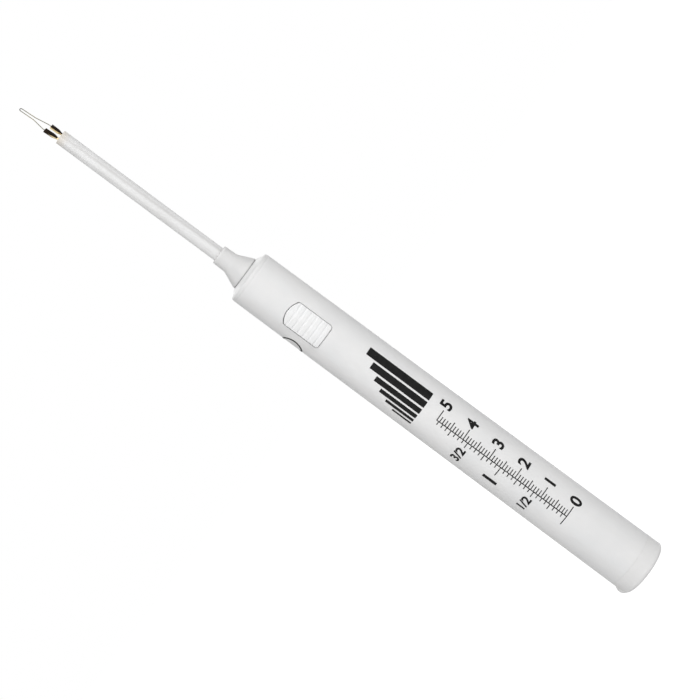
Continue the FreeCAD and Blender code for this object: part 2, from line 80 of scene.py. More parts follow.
def buildCamera(s):
    az = math.radians(s["azimuth"])
    right = Vector((math.cos(az), math.sin(az), 0))
    target = Vector((0, 0, s["aimHeight"])) + right * s["aimRight"]
    data = bpy.data.cameras.new("camera")
    data.lens = s["lens"]
    data.sensor_width = s["sensor"]
    data.clip_start = s["nearClip"]
    camera = addToScene("camera", data)
    aimAt(camera, target + compass(s["azimuth"], s["elevation"]) * s["distance"], target, s["roll"])
    bpy.context.scene.camera = camera


buildCamera(cameraSet)
print("camera set")


# helpers for node trees
def feed(tree, socket, value):
    # a socket is linked, anything else becomes the socket's own value
    if isinstance(value, bpy.types.NodeSocket):
        tree.links.new(value, socket)
    else:
        socket.default_value = value


def put(tree, kind, inputs=None, **settings):
    node = tree.nodes.new("ShaderNode" + kind)
    for key, value in settings.items():
        setattr(node, key, value)
    for key, value in (inputs or {}).items():
        feed(tree, node.inputs[key], value)
    return node


def calc(tree, how, *values):
    node = put(tree, "Math", operation=how)
    for i, value in enumerate(values):
        feed(tree, node.inputs[i], value)
    return node.outputs[0]


def calcVector(tree, how, *values):
    node = put(tree, "VectorMath", operation=how)
    for i, value in enumerate(values):
        feed(tree, node.inputs["Scale" if how == "SCALE" and i == 1 else i], value)
    return node.outputs["Value" if how in ("DOT_PRODUCT", "LENGTH") else "Vector"]


def ramp(tree, value, low, high, start=0.0, end=1.0):
    # smooth step of value from low to high
    node = put(tree, "MapRange", interpolation_type="SMOOTHSTEP")
    for i, v in enumerate((value, low, high, start, end)):
        feed(tree, node.inputs[i], v)
    return node.outputs[0]


def mixColour(tree, factor, a, b):
    node = put(tree, "Mix", data_type="RGBA")
    for i, value in ((0, factor), (6, a), (7, b)):
        feed(tree, node.inputs[i], value)
    return node.outputs[2]


def tint(tree, colour, mask, amount, other):
    # colour goes towards the other by a share of the mask
    return mixColour(tree, calc(tree, "MULTIPLY", mask, amount), colour, other)


def noise(tree, vector, detail, roughness=0.5, scale=1.0):
    return put(tree, "TexNoise", {
        "Vector": vector, "Scale": scale, "Detail": detail, "Roughness": roughness,
    }).outputs["Fac"]


def newGroup(name, ins, outs):
    group = bpy.data.node_groups.new(name, "ShaderNodeTree")
    for label, value in ins.items():
        socket = group.interface.new_socket(name=label, in_out="INPUT", socket_type="NodeSocketFloat")
        socket.default_value = value
    for label in outs:
        group.interface.new_socket(name=label, in_out="OUTPUT", socket_type="NodeSocketFloat")
    inside = group.nodes.new("NodeGroupInput").outputs
    outside = group.nodes.new("NodeGroupOutput").inputs
    return group, inside, outside


def useGroup(tree, group, **values):
    node = tree.nodes.new("ShaderNodeGroup")
    node.node_tree = group
    for key, value in values.items():
        feed(tree, node.inputs[key], value)
    return node.outputs


skinSet = {
    "pitDetail": 3.0, "pitRoughness": 0.6, "dimpleScale": 0.21, "dimpleDetail": 1.0, "dimpleDepth": 0.8,
    "cloudDetail": 4.0, "cloudRoughness": 0.55, "cloudEdges": (0.3, 0.7),
}


def buildMouldSkin(s):
    # satin mould texture as a height, and slow unevenness of the moulded colour
    g, ins, outs = newGroup("mouldSkin", {"grain": 0.0003, "cloud": 0.014}, ("height", "tone"))
    place = put(g, "TexCoord").outputs["Object"]
    fine = calcVector(g, "SCALE", place, calc(g, "DIVIDE", 1.0, ins["grain"]))
    slow = calcVector(g, "SCALE", place, calc(g, "DIVIDE", 1.0, ins["cloud"]))
    pits = noise(g, fine, s["pitDetail"], s["pitRoughness"])
    dimple = noise(g, calcVector(g, "SCALE", fine, s["dimpleScale"]), s["dimpleDetail"])
    feed(g, outs["height"], calc(g, "MULTIPLY_ADD", dimple, s["dimpleDepth"], pits))
    cloud = noise(g, slow, s["cloudDetail"], s["cloudRoughness"])
    feed(g, outs["tone"], ramp(g, cloud, *s["cloudEdges"]))
    return g


linesSet = {
    "across": (1.0, 1.0, 0.0), "along": (0.0, 0.0, 1.0), "detail": 3.0, "roughness": 0.7,
    "toneScale": 0.3, "toneDetail": 2.0, "toneEdges": (0.3, 0.7),
}


def buildDrawLines(s):
    # long lines left by drawing, rolling or moulding along the pen
    g, ins, outs = newGroup("drawLines", {"width": 0.0001, "length": 0.01}, ("height", "tone"))
    place = put(g, "TexCoord").outputs["Object"]
    thin = calcVector(g, "SCALE", s["across"], calc(g, "DIVIDE", 1.0, ins["width"]))
    long = calcVector(g, "SCALE", s["along"], calc(g, "DIVIDE", 1.0, ins["length"]))
    stretched = calcVector(g, "MULTIPLY", place, calcVector(g, "ADD", thin, long))
    feed(g, outs["height"], noise(g, stretched, s["detail"], s["roughness"]))
    slow = noise(g, calcVector(g, "SCALE", stretched, s["toneScale"]), s["toneDetail"])
    feed(g, outs["tone"], ramp(g, slow, *s["toneEdges"]))
    return g


zoneSet = {"waveDetail": 3.0, "waveRoughness": 0.6, "waveScale": 900.0}


def buildZoneAt(s):
    # a wavering band round the pen at one height, 1 in its middle and 0 at its reach
    g, ins, outs = newGroup("zoneAt", {"height": 0.0, "reach": 0.001, "waver": 0.0002}, ("mask",))
    place = put(g, "TexCoord").outputs["Object"]
    z = put(g, "SeparateXYZ", {"Vector": place}).outputs["Z"]
    wave = noise(g, place, s["waveDetail"], s["waveRoughness"], s["waveScale"])
    wave = calc(g, "SUBTRACT", wave, 0.5)
    off = calc(g, "SUBTRACT", calc(g, "MULTIPLY_ADD", wave, ins["waver"], z), ins["height"])
    share = calc(g, "DIVIDE", calc(g, "ABSOLUTE", off), ins["reach"])
    feed(g, outs["mask"], ramp(g, share, 0.0, 1.0, 1.0, 0.0))
    return g


speckSet = {"solidPart": 0.5}


def buildDustSpecks(s):
    # sparse small round specks
    g, ins, outs = newGroup("dustSpecks", {"spacing": 0.003, "size": 0.05, "share": 0.2}, ("mask",))
    place = put(g, "TexCoord").outputs["Object"]
    spread = calcVector(g, "SCALE", place, calc(g, "DIVIDE", 1.0, ins["spacing"]))
    cells = put(g, "TexVoronoi", {"Vector": spread, "Scale": 1.0})
    pick = put(g, "SeparateXYZ", {"Vector": cells.outputs["Color"]}).outputs["X"]
    solid = calc(g, "MULTIPLY", ins["size"], s["solidPart"])
    near = ramp(g, cells.outputs["Distance"], solid, ins["size"], 1.0, 0.0)
    feed(g, outs["mask"], calc(g, "MULTIPLY", near, calc(g, "LESS_THAN", pick, ins["share"])))
    return g


handlingSet = {
    "broadDetail": 3.0, "broadRoughness": 0.6,
    "fineness": 14.0, "fineDetail": 4.0, "fineRoughness": 0.75, "fineEdges": (0.35, 0.65),
    "patchFrom": 0.72, "patchByAmount": -0.25, "patchFull": 0.78,
}


def buildHandling(s):
    # faint rubs and finger marks, patchy, with a fine broken texture inside
    g, ins, outs = newGroup("handling", {"size": 0.012, "amount": 0.5}, ("mask",))
    place = put(g, "TexCoord").outputs["Object"]
    wide = calcVector(g, "SCALE", place, calc(g, "DIVIDE", 1.0, ins["size"]))
    broad = noise(g, wide, s["broadDetail"], s["broadRoughness"])
    small = calcVector(g, "SCALE", place, calc(g, "DIVIDE", s["fineness"], ins["size"]))
    fine = noise(g, small, s["fineDetail"], s["fineRoughness"])
    start = calc(g, "MULTIPLY_ADD", ins["amount"], s["patchByAmount"], s["patchFrom"])
    patch = ramp(g, broad, start, s["patchFull"])
    feed(g, outs["mask"], calc(g, "MULTIPLY", patch, ramp(g, fine, *s["fineEdges"])))
    return g


mouldSkin = buildMouldSkin(skinSet)
drawLines = buildDrawLines(linesSet)
zoneAt = buildZoneAt(zoneSet)
dustSpecks = buildDustSpecks(speckSet)
handling = buildHandling(handlingSet)
print("shared effects built")


# what most finishes use, with the values of one finish
def skinFor(tree, s):
    return useGroup(tree, mouldSkin, grain=s["grain"], cloud=s["cloud"])


def linesFor(tree, s):
    return useGroup(tree, drawLines, width=s["lineWidth"], length=s["lineLength"])


def rubFor(tree, s):
    return useGroup(tree, handling, size=s["rubSize"], amount=s["rubAmount"])["mask"]


def band(tree, height, reach, waver):
    return useGroup(tree, zoneAt, height=height, reach=reach, waver=waver)["mask"]


def specks(tree, spacing, size, share):
    return useGroup(tree, dustSpecks, spacing=spacing, size=size, share=share)["mask"]


def twoTone(tree, skin, s):
    return mixColour(tree, skin["tone"], s["colourA"], s["colourB"])


def roughen(tree, shader, mask, amount, base):
    feed(tree, shader.inputs["Roughness"], calc(tree, "MULTIPLY_ADD", mask, amount, base))


def newMaterial(name, shine=0.5):
    mat = bpy.data.materials.new(name)
    mat.use_nodes = True
    shader = mat.node_tree.nodes["Principled BSDF"]
    shader.inputs["Specular IOR Level"].default_value = shine
    return mat, mat.node_tree, shader


def bumped(tree, shader, height, distance):
    bump = put(tree, "Bump", {"Height": height, "Distance": distance, "Strength": 1.0})
    feed(tree, shader.inputs["Normal"], bump.outputs["Normal"])


def grey(level, warm=0.0):
    # neutral colour, a little warmer or cooler
    return (level * (1 + warm), level, level * (1 - warm), 1.0)


def whitePlastic(name, s):
    # moulded white parts, with darker bands round the pen along the cap seam and of painted shade at the
    # cone, and lighter bands of painted light
    mat, tree, shader = newMaterial(name, s["shine"])
    skin = skinFor(tree, s)
    flow = useGroup(tree, drawLines, width=s["flowWidth"], length=s["flowLength"])
    rub = rubFor(tree, s)
    speck = specks(tree, s["speckSpacing"], s["speckSize"], s["speckShare"])
    colour = twoTone(tree, skin, s)
    colour = tint(tree, colour, flow["tone"], s["flowTint"], s["colourC"])
    colour = tint(tree, colour, rub, s["rubTint"], s["rubColour"])
    # darker bands: along the cap seam, and painted shade in the gaps at the cone's foot and mouth
    for height, reach, amount in s["grimeAndShade"]:
        line = band(tree, height, reach, reach * s["grimeAndShadeWaver"])
        colour = tint(tree, colour, line, amount, s["grimeAndShadeColour"])
    # lighter bands of painted light, where seams and rounded edges fall into shade
    for height, reach, amount in s["paintedLight"]:
        line = band(tree, height, reach, reach)
        colour = tint(tree, colour, line, amount, s["paintedLightColour"])
    colour = tint(tree, colour, speck, s["speckTint"], s["speckColour"])
    feed(tree, shader.inputs["Base Color"], colour)
    rough = calc(tree, "MULTIPLY_ADD", skin["tone"], s["toneRough"], s["roughness"])
    roughen(tree, shader, rub, s["rubGloss"], rough)
    height = calc(tree, "MULTIPLY_ADD", flow["height"], s["flowDepth"], skin["height"])
    bumped(tree, shader, height, s["relief"])
    return mat


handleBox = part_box("barrel")
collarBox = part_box("front_collar")
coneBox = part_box("nose_cone")
seamRear = handleBox[0].z
seamFront = handleBox[1].z
coneFoot = collarBox[1].z
coneTip = coneBox[1].z

barrelFinish = {
    "colourA": grey(0.815, -0.004), "colourB": grey(0.85, 0.002), "colourC": grey(0.79, 0.012),
    "shine": 0.1, "roughness": 0.52, "toneRough": 0.05,
    "grain": 0.00028, "cloud": 0.016, "relief": 0.000006,
    "flowWidth": 0.0012, "flowLength": 0.05, "flowTint": 0.35, "flowDepth": 0.6,
    "rubSize": 0.011, "rubAmount": 0.55, "rubTint": 0.07, "rubGloss": -0.1, "rubColour": grey(0.55, 0.03),
    "speckSpacing": 0.0035, "speckSize": 0.035, "speckShare": 0.1, "speckTint": 0.5,
    "speckColour": grey(0.3, 0.1),
    # bands round the pen: height, reach, amount
    # darker band along the cap seam
    "grimeAndShade": [(seamRear, 0.0005, 0.05)], "grimeAndShadeWaver": 0.6, "grimeAndShadeColour": grey(0.38, 0.04),
    # band of painted light over the shade at the front seam
    "paintedLight": [(seamFront - 0.0004, 0.0005, 0.25)], "paintedLightColour": grey(0.9),
}
capFinish = dict(barrelFinish, colourA=grey(0.8, 0.004), colourB=grey(0.835, 0.002), cloud=0.007,
                 flowLength=0.012, rubAmount=0.75, rubTint=0.1,
                 # darker band along the cap seam, and painted light on the rounded rear end
                 grimeAndShade=[(seamRear, 0.0004, 0.04)], paintedLight=[(0.0011, 0.0008, 0.25)])
collarFinish = dict(barrelFinish, colourA=grey(0.8), colourB=grey(0.83), cloud=0.005, flowLength=0.004,
                    # strong painted light on the collar's slope up to the cone
                    grimeAndShade=[], paintedLight=[(coneFoot - 0.0006, 0.0009, 0.9)])
coneFinish = dict(barrelFinish, colourA=grey(0.715), colourB=grey(0.755, 0.004), cloud=0.006,
                  # painted shade in the gaps at the cone's foot and mouth
                  flowLength=0.009, grimeAndShade=[(coneFoot, 0.0005, 0.2), (coneTip, 0.0005, 0.2)],
                  # painted light just behind the cone's mouth
                  paintedLight=[(coneTip - 0.0004, 0.0005, 0.35)])
buttonFinish = dict(barrelFinish, colourA=grey(0.885, -0.004), colourB=grey(0.91), cloud=0.006,
                    flowWidth=0.0006, flowLength=0.006, flowTint=0.15, roughness=0.5, relief=0.000005,
                    rubSize=0.006, rubAmount=0.9, rubTint=0.06, rubGloss=-0.16, speckShare=0.05,
                    grimeAndShade=[], paintedLight=[])
plugFinish = dict(barrelFinish, colourA=grey(0.79), colourB=grey(0.82), cloud=0.004, grimeAndShade=[], paintedLight=[])

barrelWhite = whitePlastic("barrelWhite", barrelFinish)
capWhite = whitePlastic("capWhite", capFinish)
collarWhite = whitePlastic("collarWhite", collarFinish)
coneWhite = whitePlastic("coneWhite", coneFinish)
buttonWhite = whitePlastic("buttonWhite", buttonFinish)
plugWhite = whitePlastic("plugWhite", plugFinish)


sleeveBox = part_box("tip_sleeve")

sleeveFinish = {
    # the crease colour and its tint are painted shade
    "colourA": grey(0.785, 0.004), "colourB": grey(0.835), "creaseAndShade": grey(0.42, 0.03), "creaseShadeTint": 0.3,
    "scorch": (0.62, 0.5, 0.33, 1.0), "scorchReach": 0.0035, "scorchWaver": 0.0012, "scorchTint": 0.35,
    "shine": 0.35, "roughness": 0.42, "relief": 0.0000012, "grain": 0.0003, "cloud": 0.009,
    "lineWidth": 0.00025, "lineLength": 0.03, "lineColour": grey(0.7, 0.01), "lineTint": 0.12,
    "lineRough": 0.06, "lineDepth": 1.5,
    "rubSize": 0.007, "rubAmount": 0.6, "rubTint": 0.04, "rubColour": grey(0.5, 0.03),
}


def sleevePlastic(s):
    # drawn fluoropolymer tube, its creases are marked by an attribute on the piece
    mat, tree, shader = newMaterial("sleeveWhite", s["shine"])
    lines = linesFor(tree, s)
    skin = skinFor(tree, s)
    rub = rubFor(tree, s)
    creaseAndShade = put(tree, "Attribute", attribute_name="creaseAndShade").outputs["Fac"]
    heat = band(tree, sleeveBox[1].z, s["scorchReach"], s["scorchWaver"])
    colour = twoTone(tree, skin, s)
    colour = tint(tree, colour, lines["tone"], s["lineTint"], s["lineColour"])
    # painted shade: the sleeve is darkened along its creases
    colour = tint(tree, colour, creaseAndShade, s["creaseShadeTint"], s["creaseAndShade"])
    colour = tint(tree, colour, heat, s["scorchTint"], s["scorch"])
    colour = tint(tree, colour, rub, s["rubTint"], s["rubColour"])
    feed(tree, shader.inputs["Base Color"], colour)
    roughen(tree, shader, lines["tone"], s["lineRough"], s["roughness"])
    height = calc(tree, "MULTIPLY_ADD", lines["height"], s["lineDepth"], skin["height"])
    bumped(tree, shader, height, s["relief"])
    return mat


sleeveWhite = sleevePlastic(sleeveFinish)


def mattPlastic(name, s):
    # plain technical plastics: insulator, tray, cell seals, and the dark rings of painted shade at the side
    # plug and under the cone
    mat, tree, shader = newMaterial(name, s["shine"])
    skin = skinFor(tree, s)
    rub = rubFor(tree, s)
    speck = specks(tree, s["fibreSpacing"], s["fibreSize"], s["fibres"])
    colour = twoTone(tree, skin, s)
    colour = tint(tree, colour, rub, s["rubTint"], s["dust"])
    colour = tint(tree, colour, speck, s["fibreTint"], s["dust"])
    feed(tree, shader.inputs["Base Color"], colour)
    roughen(tree, shader, rub, s["rubRough"], s["roughness"])
    bumped(tree, shader, skin["height"], s["relief"])
    return mat


mattFinish = {
    "rubSize": 0.006, "rubAmount": 0.7, "rubTint": 0.25, "rubRough": 0.15,
    "fibreSpacing": 0.0011, "fibreSize": 0.09, "fibreTint": 0.4,
}
insulatorFinish = dict(mattFinish, colourA=(0.68, 0.66, 0.6, 1), colourB=(0.76, 0.74, 0.69, 1),
                       dust=(0.45, 0.4, 0.32, 1), shine=0.25, roughness=0.6, grain=0.00025, cloud=0.004,
                       relief=0.000012, fibres=0.2)
trayFinish = dict(mattFinish, colourA=(0.2, 0.21, 0.22, 1), colourB=(0.26, 0.27, 0.28, 1),
                  dust=(0.45, 0.45, 0.44, 1), shine=0.35, roughness=0.52, grain=0.0003, cloud=0.006,
                  relief=0.000014, fibres=0.35)
# black for the ring of painted shade round the side plug; the cell seals and cores start from it
sealAndShadeFinish = dict(mattFinish, colourA=(0.012, 0.012, 0.013, 1), colourB=(0.022, 0.022, 0.023, 1),
                  dust=(0.1, 0.1, 0.095, 1), shine=0.15, roughness=0.58, grain=0.0002, cloud=0.003,
                  relief=0.000008, fibres=0.1)
# grey for the ring of painted shade at the cone's foot
coneShadeRingFinish = dict(sealAndShadeFinish, colourA=(0.4, 0.4, 0.4, 1), colourB=(0.48, 0.48, 0.475, 1))
cellSealFinish = dict(sealAndShadeFinish, colourA=(0.16, 0.1, 0.06, 1), colourB=(0.2, 0.13, 0.08, 1))
cellCoreFinish = dict(sealAndShadeFinish, colourA=(0.1, 0.1, 0.11, 1), colourB=(0.17, 0.17, 0.17, 1), grain=0.0005,
                      relief=0.00004, roughness=0.75, fibres=0.5)

insulatorCream = mattPlastic("insulatorCream", insulatorFinish)
trayGrey = mattPlastic("trayGrey", trayFinish)
# dark rings that paint the shade of the gaps at the side plug and the cone's foot
paintedShadeBlack = mattPlastic("paintedShadeBlack", sealAndShadeFinish)
paintedShadeGrey = mattPlastic("paintedShadeGrey", coneShadeRingFinish)
cellSeal = mattPlastic("cellSealBrown", cellSealFinish)
cellCore = mattPlastic("cellCorePowder", cellCoreFinish)


def stripMetal(name, s):
    # plated or rolled strip, tube and wire with rolling lines and dull patches
    mat, tree, shader = newMaterial(name)
    lines = linesFor(tree, s)
    skin = skinFor(tree, s)
    stain = rubFor(tree, s)
    colour = twoTone(tree, skin, s)
    colour = tint(tree, colour, lines["tone"], s["lineTint"], s["colourC"])
    colour = tint(tree, colour, stain, s["stainTint"], s["stain"])
    feed(tree, shader.inputs["Base Color"], colour)
    feed(tree, shader.inputs["Metallic"], calc(tree, "MULTIPLY_ADD", stain, s["stainMetal"], 1.0))
    rough = calc(tree, "MULTIPLY_ADD", lines["tone"], s["lineRough"], s["roughness"])
    roughen(tree, shader, stain, s["stainRough"], rough)
    bumped(tree, shader, lines["height"], s["relief"])
    return mat


nickelFinish = {
    "colourA": (0.6, 0.59, 0.56, 1), "colourB": (0.68, 0.67, 0.64, 1), "colourC": (0.5, 0.49, 0.46, 1),
    "roughness": 0.26, "grain": 0.00012, "cloud": 0.003, "relief": 0.000003,
    "lineWidth": 0.00008, "lineLength": 0.006, "lineTint": 0.3, "lineRough": 0.12,
    "stain": (0.32, 0.29, 0.24, 1), "rubSize": 0.004, "rubAmount": 0.5, "stainTint": 0.6,
    "stainMetal": -0.35, "stainRough": 0.2,
}
bronzeFinish = dict(nickelFinish, colourA=(0.66, 0.44, 0.24, 1), colourB=(0.74, 0.52, 0.3, 1),
                    colourC=(0.52, 0.33, 0.17, 1), stain=(0.24, 0.13, 0.06, 1), roughness=0.3)
silverFinish = dict(nickelFinish, colourA=(0.82, 0.81, 0.78, 1), colourB=(0.88, 0.87, 0.85, 1),
                    colourC=(0.7, 0.68, 0.64, 1), stain=(0.4, 0.36, 0.28, 1), roughness=0.32,
                    lineLength=0.0004)
springFinish = dict(nickelFinish, lineWidth=0.00006, lineLength=0.0004, rubSize=0.002, roughness=0.22)
canFinish = dict(nickelFinish, lineLength=0.03, roughness=0.3, rubAmount=0.65)

nickelPlate = stripMetal("nickelPlate", nickelFinish)
springBronze = stripMetal("springBronze", bronzeFinish)
contactSilver = stripMetal("contactSilver", silverFinish)
springSteel = stripMetal("springSteel", springFinish)
cellSteel = stripMetal("cellSteel", canFinish)


brassFinish = {
    "colourA": (0.66, 0.52, 0.27, 1), "colourB": (0.8, 0.67, 0.4, 1), "edge": (0.9, 0.76, 0.48, 1),
    "shine": 0.08, "roughness": 0.34, "grain": 0.00009, "cloud": 0.0009, "relief": 0.000008,
    "lineWidth": 0.00007, "lineLength": 0.004, "lineTint": 0.35,
    "raggedScale": 2600.0, "raggedDetail": 4.0, "raggedRoughness": 0.7, "raggedBy": 0.45,
    "oxideA": (0.006, 0.004, 0.003, 1), "oxideB": (0.022, 0.012, 0.006, 1), "oxideEdges": (0.38, 0.6),
    "oxideRough": 0.22, "oxideDepth": 1.2,
    "rim": (0.3, 0.13, 0.04, 1.0), "rimAt": 0.36, "rimReach": 0.16, "rimTint": 0.55,
}


def heatedBrass(s):
    # brass tube, its pressed faces blackened by heat and worn back to metal on the edges
    mat, tree, shader = newMaterial("heatedBrass", s["shine"])
    place = put(tree, "TexCoord").outputs["Object"]
    lines = linesFor(tree, s)
    skin = skinFor(tree, s)
    face = put(tree, "Attribute", attribute_name="heated").outputs["Fac"]
    broken = noise(tree, place, s["raggedDetail"], s["raggedRoughness"], s["raggedScale"])
    ragged = calc(tree, "MULTIPLY_ADD", calc(tree, "SUBTRACT", broken, 0.5), s["raggedBy"], face)
    oxide = ramp(tree, ragged, *s["oxideEdges"])
    metal = twoTone(tree, skin, s)
    metal = tint(tree, metal, lines["tone"], s["lineTint"], s["edge"])
    crust = mixColour(tree, skin["tone"], s["oxideA"], s["oxideB"])
    offRim = calc(tree, "ABSOLUTE", calc(tree, "SUBTRACT", ragged, s["rimAt"]))
    rim = ramp(tree, offRim, 0.0, s["rimReach"], s["rimTint"], 0.0)
    metal = mixColour(tree, rim, metal, s["rim"])
    feed(tree, shader.inputs["Base Color"], mixColour(tree, oxide, metal, crust))
    feed(tree, shader.inputs["Metallic"], calc(tree, "MULTIPLY_ADD", oxide, -1.0, 1.0))
    roughen(tree, shader, oxide, s["oxideRough"], s["roughness"])
    metalHeight = calc(tree, "ADD", lines["height"], skin["height"])
    bumped(tree, shader, calc(tree, "MULTIPLY_ADD", oxide, s["oxideDepth"], metalHeight), s["relief"])
    return mat


brassBlackened = heatedBrass(brassFinish)


wireFinish = {
    "colourA": (0.17, 0.17, 0.13, 1), "colourB": (0.27, 0.265, 0.21, 1), "metal": 0.85, "roughness": 0.4,
    "grain": 0.00006, "cloud": 0.0008, "relief": 0.000003,
    "lineWidth": 0.00004, "lineLength": 0.003, "lineRough": 0.15,
    "tip": (0.03, 0.03, 0.025, 1), "tipReach": 0.0012, "tipWaver": 0.0004, "tipTint": 0.9, "tipMetal": -0.4,
    "straw": (0.4, 0.33, 0.17, 1), "strawDrop": 0.0045, "strawReach": 0.003, "strawWaver": 0.002,
    "strawTint": 0.35,
}


def heatedWire(s):
    # drawn resistance wire, dark at the loop where it glows, straw coloured behind
    mat, tree, shader = newMaterial("heatedWire")
    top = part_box("heating_wire")[1].z
    lines = linesFor(tree, s)
    skin = skinFor(tree, s)
    glow = band(tree, top, s["tipReach"], s["tipWaver"])
    straw = band(tree, top - s["strawDrop"], s["strawReach"], s["strawWaver"])
    colour = twoTone(tree, skin, s)
    colour = tint(tree, colour, straw, s["strawTint"], s["straw"])
    colour = tint(tree, colour, glow, s["tipTint"], s["tip"])
    feed(tree, shader.inputs["Base Color"], colour)
    feed(tree, shader.inputs["Metallic"], calc(tree, "MULTIPLY_ADD", glow, s["tipMetal"], s["metal"]))
    roughen(tree, shader, lines["tone"], s["lineRough"], s["roughness"])
    bumped(tree, shader, lines["height"], s["relief"])
    return mat


wireAlloy = heatedWire(wireFinish)


inkFinish = {
    "colourA": grey(0.006), "colourB": grey(0.013), "shine": 0.12, "roughness": 0.5, "toneRough": 0.12,
    "grain": 0.00012, "cloud": 0.0016, "relief": 0.000003,
    "hole": grey(0.45), "holeSpacing": 0.0006, "holeSize": 0.1, "holeShare": 0.12, "holeTint": 0.55,
}


def printInk(s):
    # screen printed black with pinholes and an uneven film
    mat, tree, shader = newMaterial("printInk", s["shine"])
    skin = skinFor(tree, s)
    hole = specks(tree, s["holeSpacing"], s["holeSize"], s["holeShare"])
    colour = twoTone(tree, skin, s)
    colour = tint(tree, colour, hole, s["holeTint"], s["hole"])
    feed(tree, shader.inputs["Base Color"], colour)
    roughen(tree, shader, skin["tone"], s["toneRough"], s["roughness"])
    bumped(tree, shader, skin["height"], s["relief"])
    return mat


wrapFinish = {
    "colourA": (0.028, 0.035, 0.05, 1), "colourB": (0.042, 0.05, 0.068, 1), "shine": 0.5, "roughness": 0.28,
    "grain": 0.0004, "cloud": 0.007, "skinDepth": 0.2, "wrinkleWidth": 0.0009, "wrinkleLength": 0.012,
    "relief": 0.00002,
    "rub": grey(0.4), "rubSize": 0.006, "rubAmount": 0.8, "rubTint": 0.2, "rubRough": 0.2,
    # printed zones: colour, distance from the front end (from the rear end for the foot), reach, edges
    "shoulder": ((0.5, 0.27, 0.11, 1), 0.0, 0.012, (0.01, 0.02)),
    "line": ((0.7, 0.7, 0.68, 1), 0.0135, 0.0007, (0.2, 0.3)),
    "foot": ((0.5, 0.49, 0.46, 1), 0.0, 0.003, (0.01, 0.02)),
}


def cellWrap(name, node, s):
    # shrink wrap of a cell: copper coloured shoulder, dark body, bare bands
    mat, tree, shader = newMaterial(name, s["shine"])
    low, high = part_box(node)
    skin = skinFor(tree, s)
    wrinkle = useGroup(tree, drawLines, width=s["wrinkleWidth"], length=s["wrinkleLength"])
    rub = rubFor(tree, s)
    colour = twoTone(tree, skin, s)
    for zone, end in (("shoulder", high.z), ("line", high.z), ("foot", low.z)):
        zoneColour, back, reach, edges = s[zone]
        mask = band(tree, end - back, reach, 0.0)
        colour = mixColour(tree, ramp(tree, mask, *edges), colour, zoneColour)
    colour = tint(tree, colour, rub, s["rubTint"], s["rub"])
    feed(tree, shader.inputs["Base Color"], colour)
    roughen(tree, shader, rub, s["rubRough"], s["roughness"])
    height = calc(tree, "MULTIPLY_ADD", skin["height"], s["skinDepth"], wrinkle["height"])
    bumped(tree, shader, height, s["relief"])
    return mat


inkBlack = printInk(inkFinish)
print("finishes built")

finishOf = {
    "barrel": barrelWhite, "rear_cap": capWhite, "front_collar": collarWhite, "nose_cone": coneWhite,
    "press_button": buttonWhite, "side_plug": plugWhite, "tip_sleeve": sleeveWhite,
    "lead_core": insulatorCream, "switch_carrier": trayGrey, "heating_wire": wireAlloy,
    "left_terminal_post": brassBlackened, "right_terminal_post": brassBlackened,
    "battery_spring": springSteel, "blade_anchor": springBronze, "contact_blade": springBronze,
    "fixed_tip": contactSilver, "blade_tip": contactSilver,
}
for name in ("positive_contact", "blade_rivet", "fixed_contact", "return_strip", "rear_contact"):
    finishOf[name] = nickelPlate
for end in ("rear", "front"):
    finishOf[end + "_cell_can"] = cellSteel
    finishOf[end + "_cell_cap"] = nickelPlate
    finishOf[end + "_cell_seal"] = cellSeal
    finishOf[end + "_cell_core"] = cellCore
    finishOf[end + "_cell_jacket"] = cellWrap(end + "CellWrap", end + "_cell_jacket", wrapFinish)


def paint(obj, material):
    obj.data.materials.clear()
    obj.data.materials.append(material)


for name, material in finishOf.items():
    paint(nodes[name], material)
print("nodes painted")


smoothAngle = math.radians(35)
printAngle = math.radians(25)


def finishPiece(bm, name, body, material, smooth=smoothAngle):
    # one mesh object from the bmesh, riding on a body
    bmesh.ops.remove_doubles(bm, verts=bm.verts[:], dist=1e-7)
    bmesh.ops.recalc_face_normals(bm, faces=bm.faces[:])
    mesh = bpy.data.meshes.new(name)
    bm.to_mesh(mesh)
    bm.free()
    mesh.shade_smooth()
    mesh.set_sharp_from_angle(angle=smooth)
    mesh.materials.append(material)
    obj = addToScene(name, mesh)
    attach(obj, body)
    return obj


def openTube(bm, segments, radius, heights):
    # open tube along +Z, one ring at each height
    ring = bmesh.ops.create_circle(bm, segments=segments, radius=radius)["verts"]
    bmesh.ops.translate(bm, verts=ring, vec=(0, 0, heights[0]))
    edges = list({e for v in ring for e in v.link_edges})
    for low, high in zip(heights, heights[1:]):
        made = bmesh.ops.extrude_edge_only(bm, edges=edges)["geom"]
        edges = [g for g in made if isinstance(g, bmesh.types.BMEdge) and all(v in made for v in g.verts)]
        moved = [g for g in made if isinstance(g, bmesh.types.BMVert)]
        bmesh.ops.translate(bm, verts=moved, vec=(0, 0, high - low))


def steps(low, high, count):
    return [low + (high - low) * i / count for i in range(count + 1)]


def bell(x, width):
    return math.exp(-(x / width) ** 2)


def handleRadius(z):
    # radius of the tapered handle, from the barrel's own ends
    share = (z - handleEnds[0][0]) / (handleEnds[1][0] - handleEnds[0][0])
    return handleEnds[0][1] + (handleEnds[1][1] - handleEnds[0][1]) * share


def widestPoint(node, low, high):
    # height and radius of the node's widest ring between two heights
    points = [v.co for v in nodes[node].data.vertices if low <= v.co.z <= high]
    radius, z = max((math.hypot(co.x, co.y), co.z) for co in points)
    return z, radius


handleEnds = [widestPoint("barrel", seamRear - 0.1 * mm, seamRear + 0.1 * mm),
              widestPoint("barrel", seamFront - 1 * mm, seamFront + 0.1 * mm)]
print("handle radius", [round(r / mm, 3) for z, r in handleEnds])


